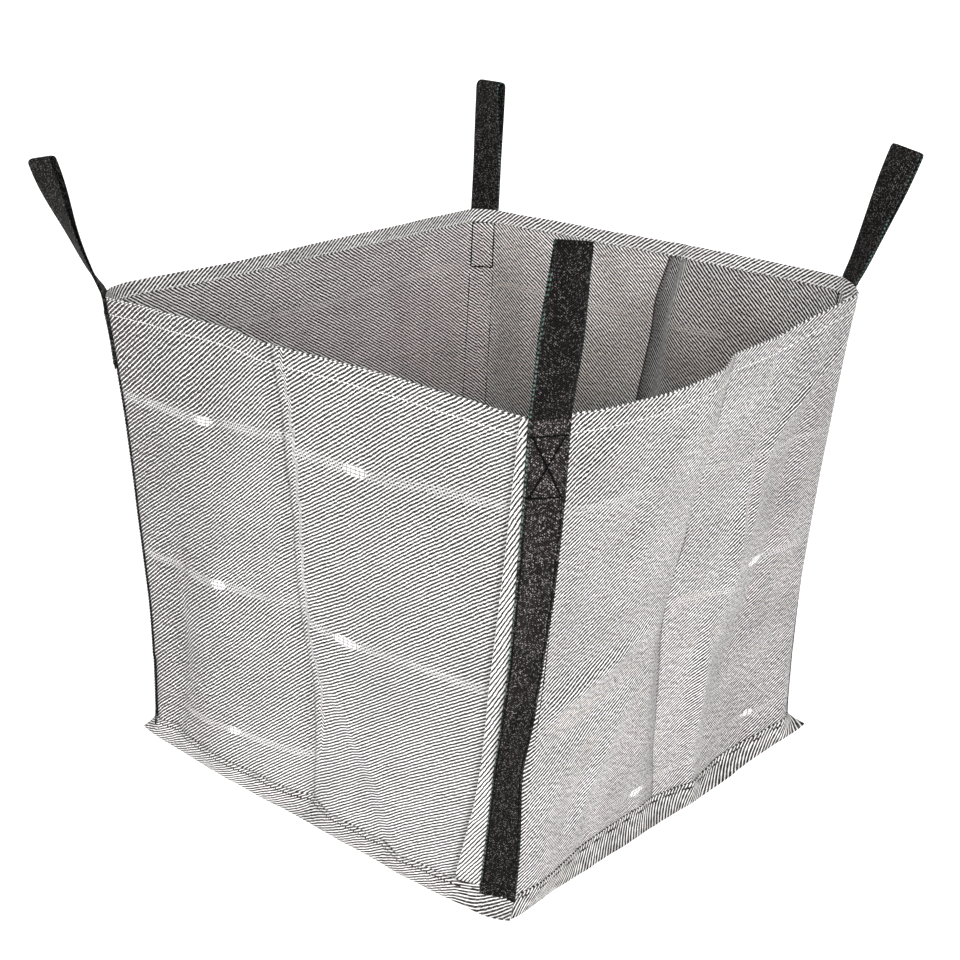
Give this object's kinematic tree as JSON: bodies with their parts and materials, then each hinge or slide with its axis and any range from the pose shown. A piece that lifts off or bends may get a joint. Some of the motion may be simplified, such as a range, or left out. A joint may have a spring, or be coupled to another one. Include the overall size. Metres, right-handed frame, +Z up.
{
  "type": "bulk bag",
  "caption": "Open-topped woven fabric bulk bag standing empty, with corner webbing straps that rise into hinged lifting loops.",
  "frame": {"origin": "centre of the underside of the base, on the floor", "axes": "+Z up out of the open top, -Y out of the front wall, +X out of the right wall"},
  "size_m": [0.983, 0.9908, 1.01],
  "materials": {
    "woven_fabric": "woven polypropylene tape, pale grey, slight sheen",
    "seam_allowance": "folded woven polypropylene, a little greyer than the walls",
    "webbing": "black woven webbing, matt with light flecks",
    "black_thread": "black sewing thread",
    "white_thread": "off-white sewing thread"
  },
  "bodies": {
    "bag": {"base_panel": "woven_fabric", "front_panel": "woven_fabric", "right_panel": "woven_fabric", "back_panel": "woven_fabric", "left_panel": "woven_fabric", "front_rim_hem": "woven_fabric", "right_rim_hem": "woven_fabric", "back_rim_hem": "woven_fabric", "left_rim_hem": "woven_fabric", "front_right_corner_strip": "woven_fabric", "back_right_corner_strip": "woven_fabric", "back_left_corner_strip": "woven_fabric", "front_left_corner_strip": "woven_fabric", "front_base_flange": "seam_allowance", "right_base_flange": "seam_allowance", "back_base_flange": "seam_allowance", "left_base_flange": "seam_allowance", "front_right_corner_strap": "webbing", "back_right_corner_strap": "webbing", "back_left_corner_strap": "webbing", "front_left_corner_strap": "webbing", "front_right_loop_sewn_end": "webbing", "back_right_loop_sewn_end": "webbing", "back_left_loop_sewn_end": "webbing", "front_left_loop_sewn_end": "webbing", "front_right_strap_left_stitching": "black_thread", "back_right_strap_left_stitching": "black_thread", "back_left_strap_left_stitching": "black_thread", "front_left_strap_left_stitching": "black_thread", "front_right_strap_right_stitching": "black_thread", "back_right_strap_right_stitching": "black_thread", "back_left_strap_right_stitching": "black_thread", "front_left_strap_right_stitching": "black_thread", "front_right_loop_box_stitching": "black_thread", "back_right_loop_box_stitching": "black_thread", "back_left_loop_box_stitching": "black_thread", "front_left_loop_box_stitching": "black_thread", "front_hem_stitching": "white_thread", "right_hem_stitching": "white_thread", "back_hem_stitching": "white_thread", "left_hem_stitching": "white_thread"},
    "front_right_loop": {"front_right_lift_loop": "webbing"},
    "back_right_loop": {"back_right_lift_loop": "webbing"},
    "back_left_loop": {"back_left_lift_loop": "webbing"},
    "front_left_loop": {"front_left_lift_loop": "webbing"}
  },
  "joints": [
    {"name": "front_right_loop_fold", "type": "hinge", "parent": "bag", "child": "front_right_loop", "pos_m": [0.41987, -0.40148, 0.7712], "axis": [0.7071, 0.7071, 0], "range_deg": [-112, 158]},
    {"name": "back_right_loop_fold", "type": "hinge", "parent": "bag", "child": "back_right_loop", "pos_m": [0.40148, 0.41987, 0.7712], "axis": [-0.7071, 0.7071, 0], "range_deg": [-108, 162]},
    {"name": "back_left_loop_fold", "type": "hinge", "parent": "bag", "child": "back_left_loop", "pos_m": [-0.41987, 0.40148, 0.7712], "axis": [-0.7071, -0.7071, 0], "range_deg": [-87, 183]},
    {"name": "front_left_loop_fold", "type": "hinge", "parent": "bag", "child": "front_left_loop", "pos_m": [-0.40148, -0.41987, 0.7712], "axis": [0.7071, -0.7071, 0], "range_deg": [-112, 158]}
  ]
}
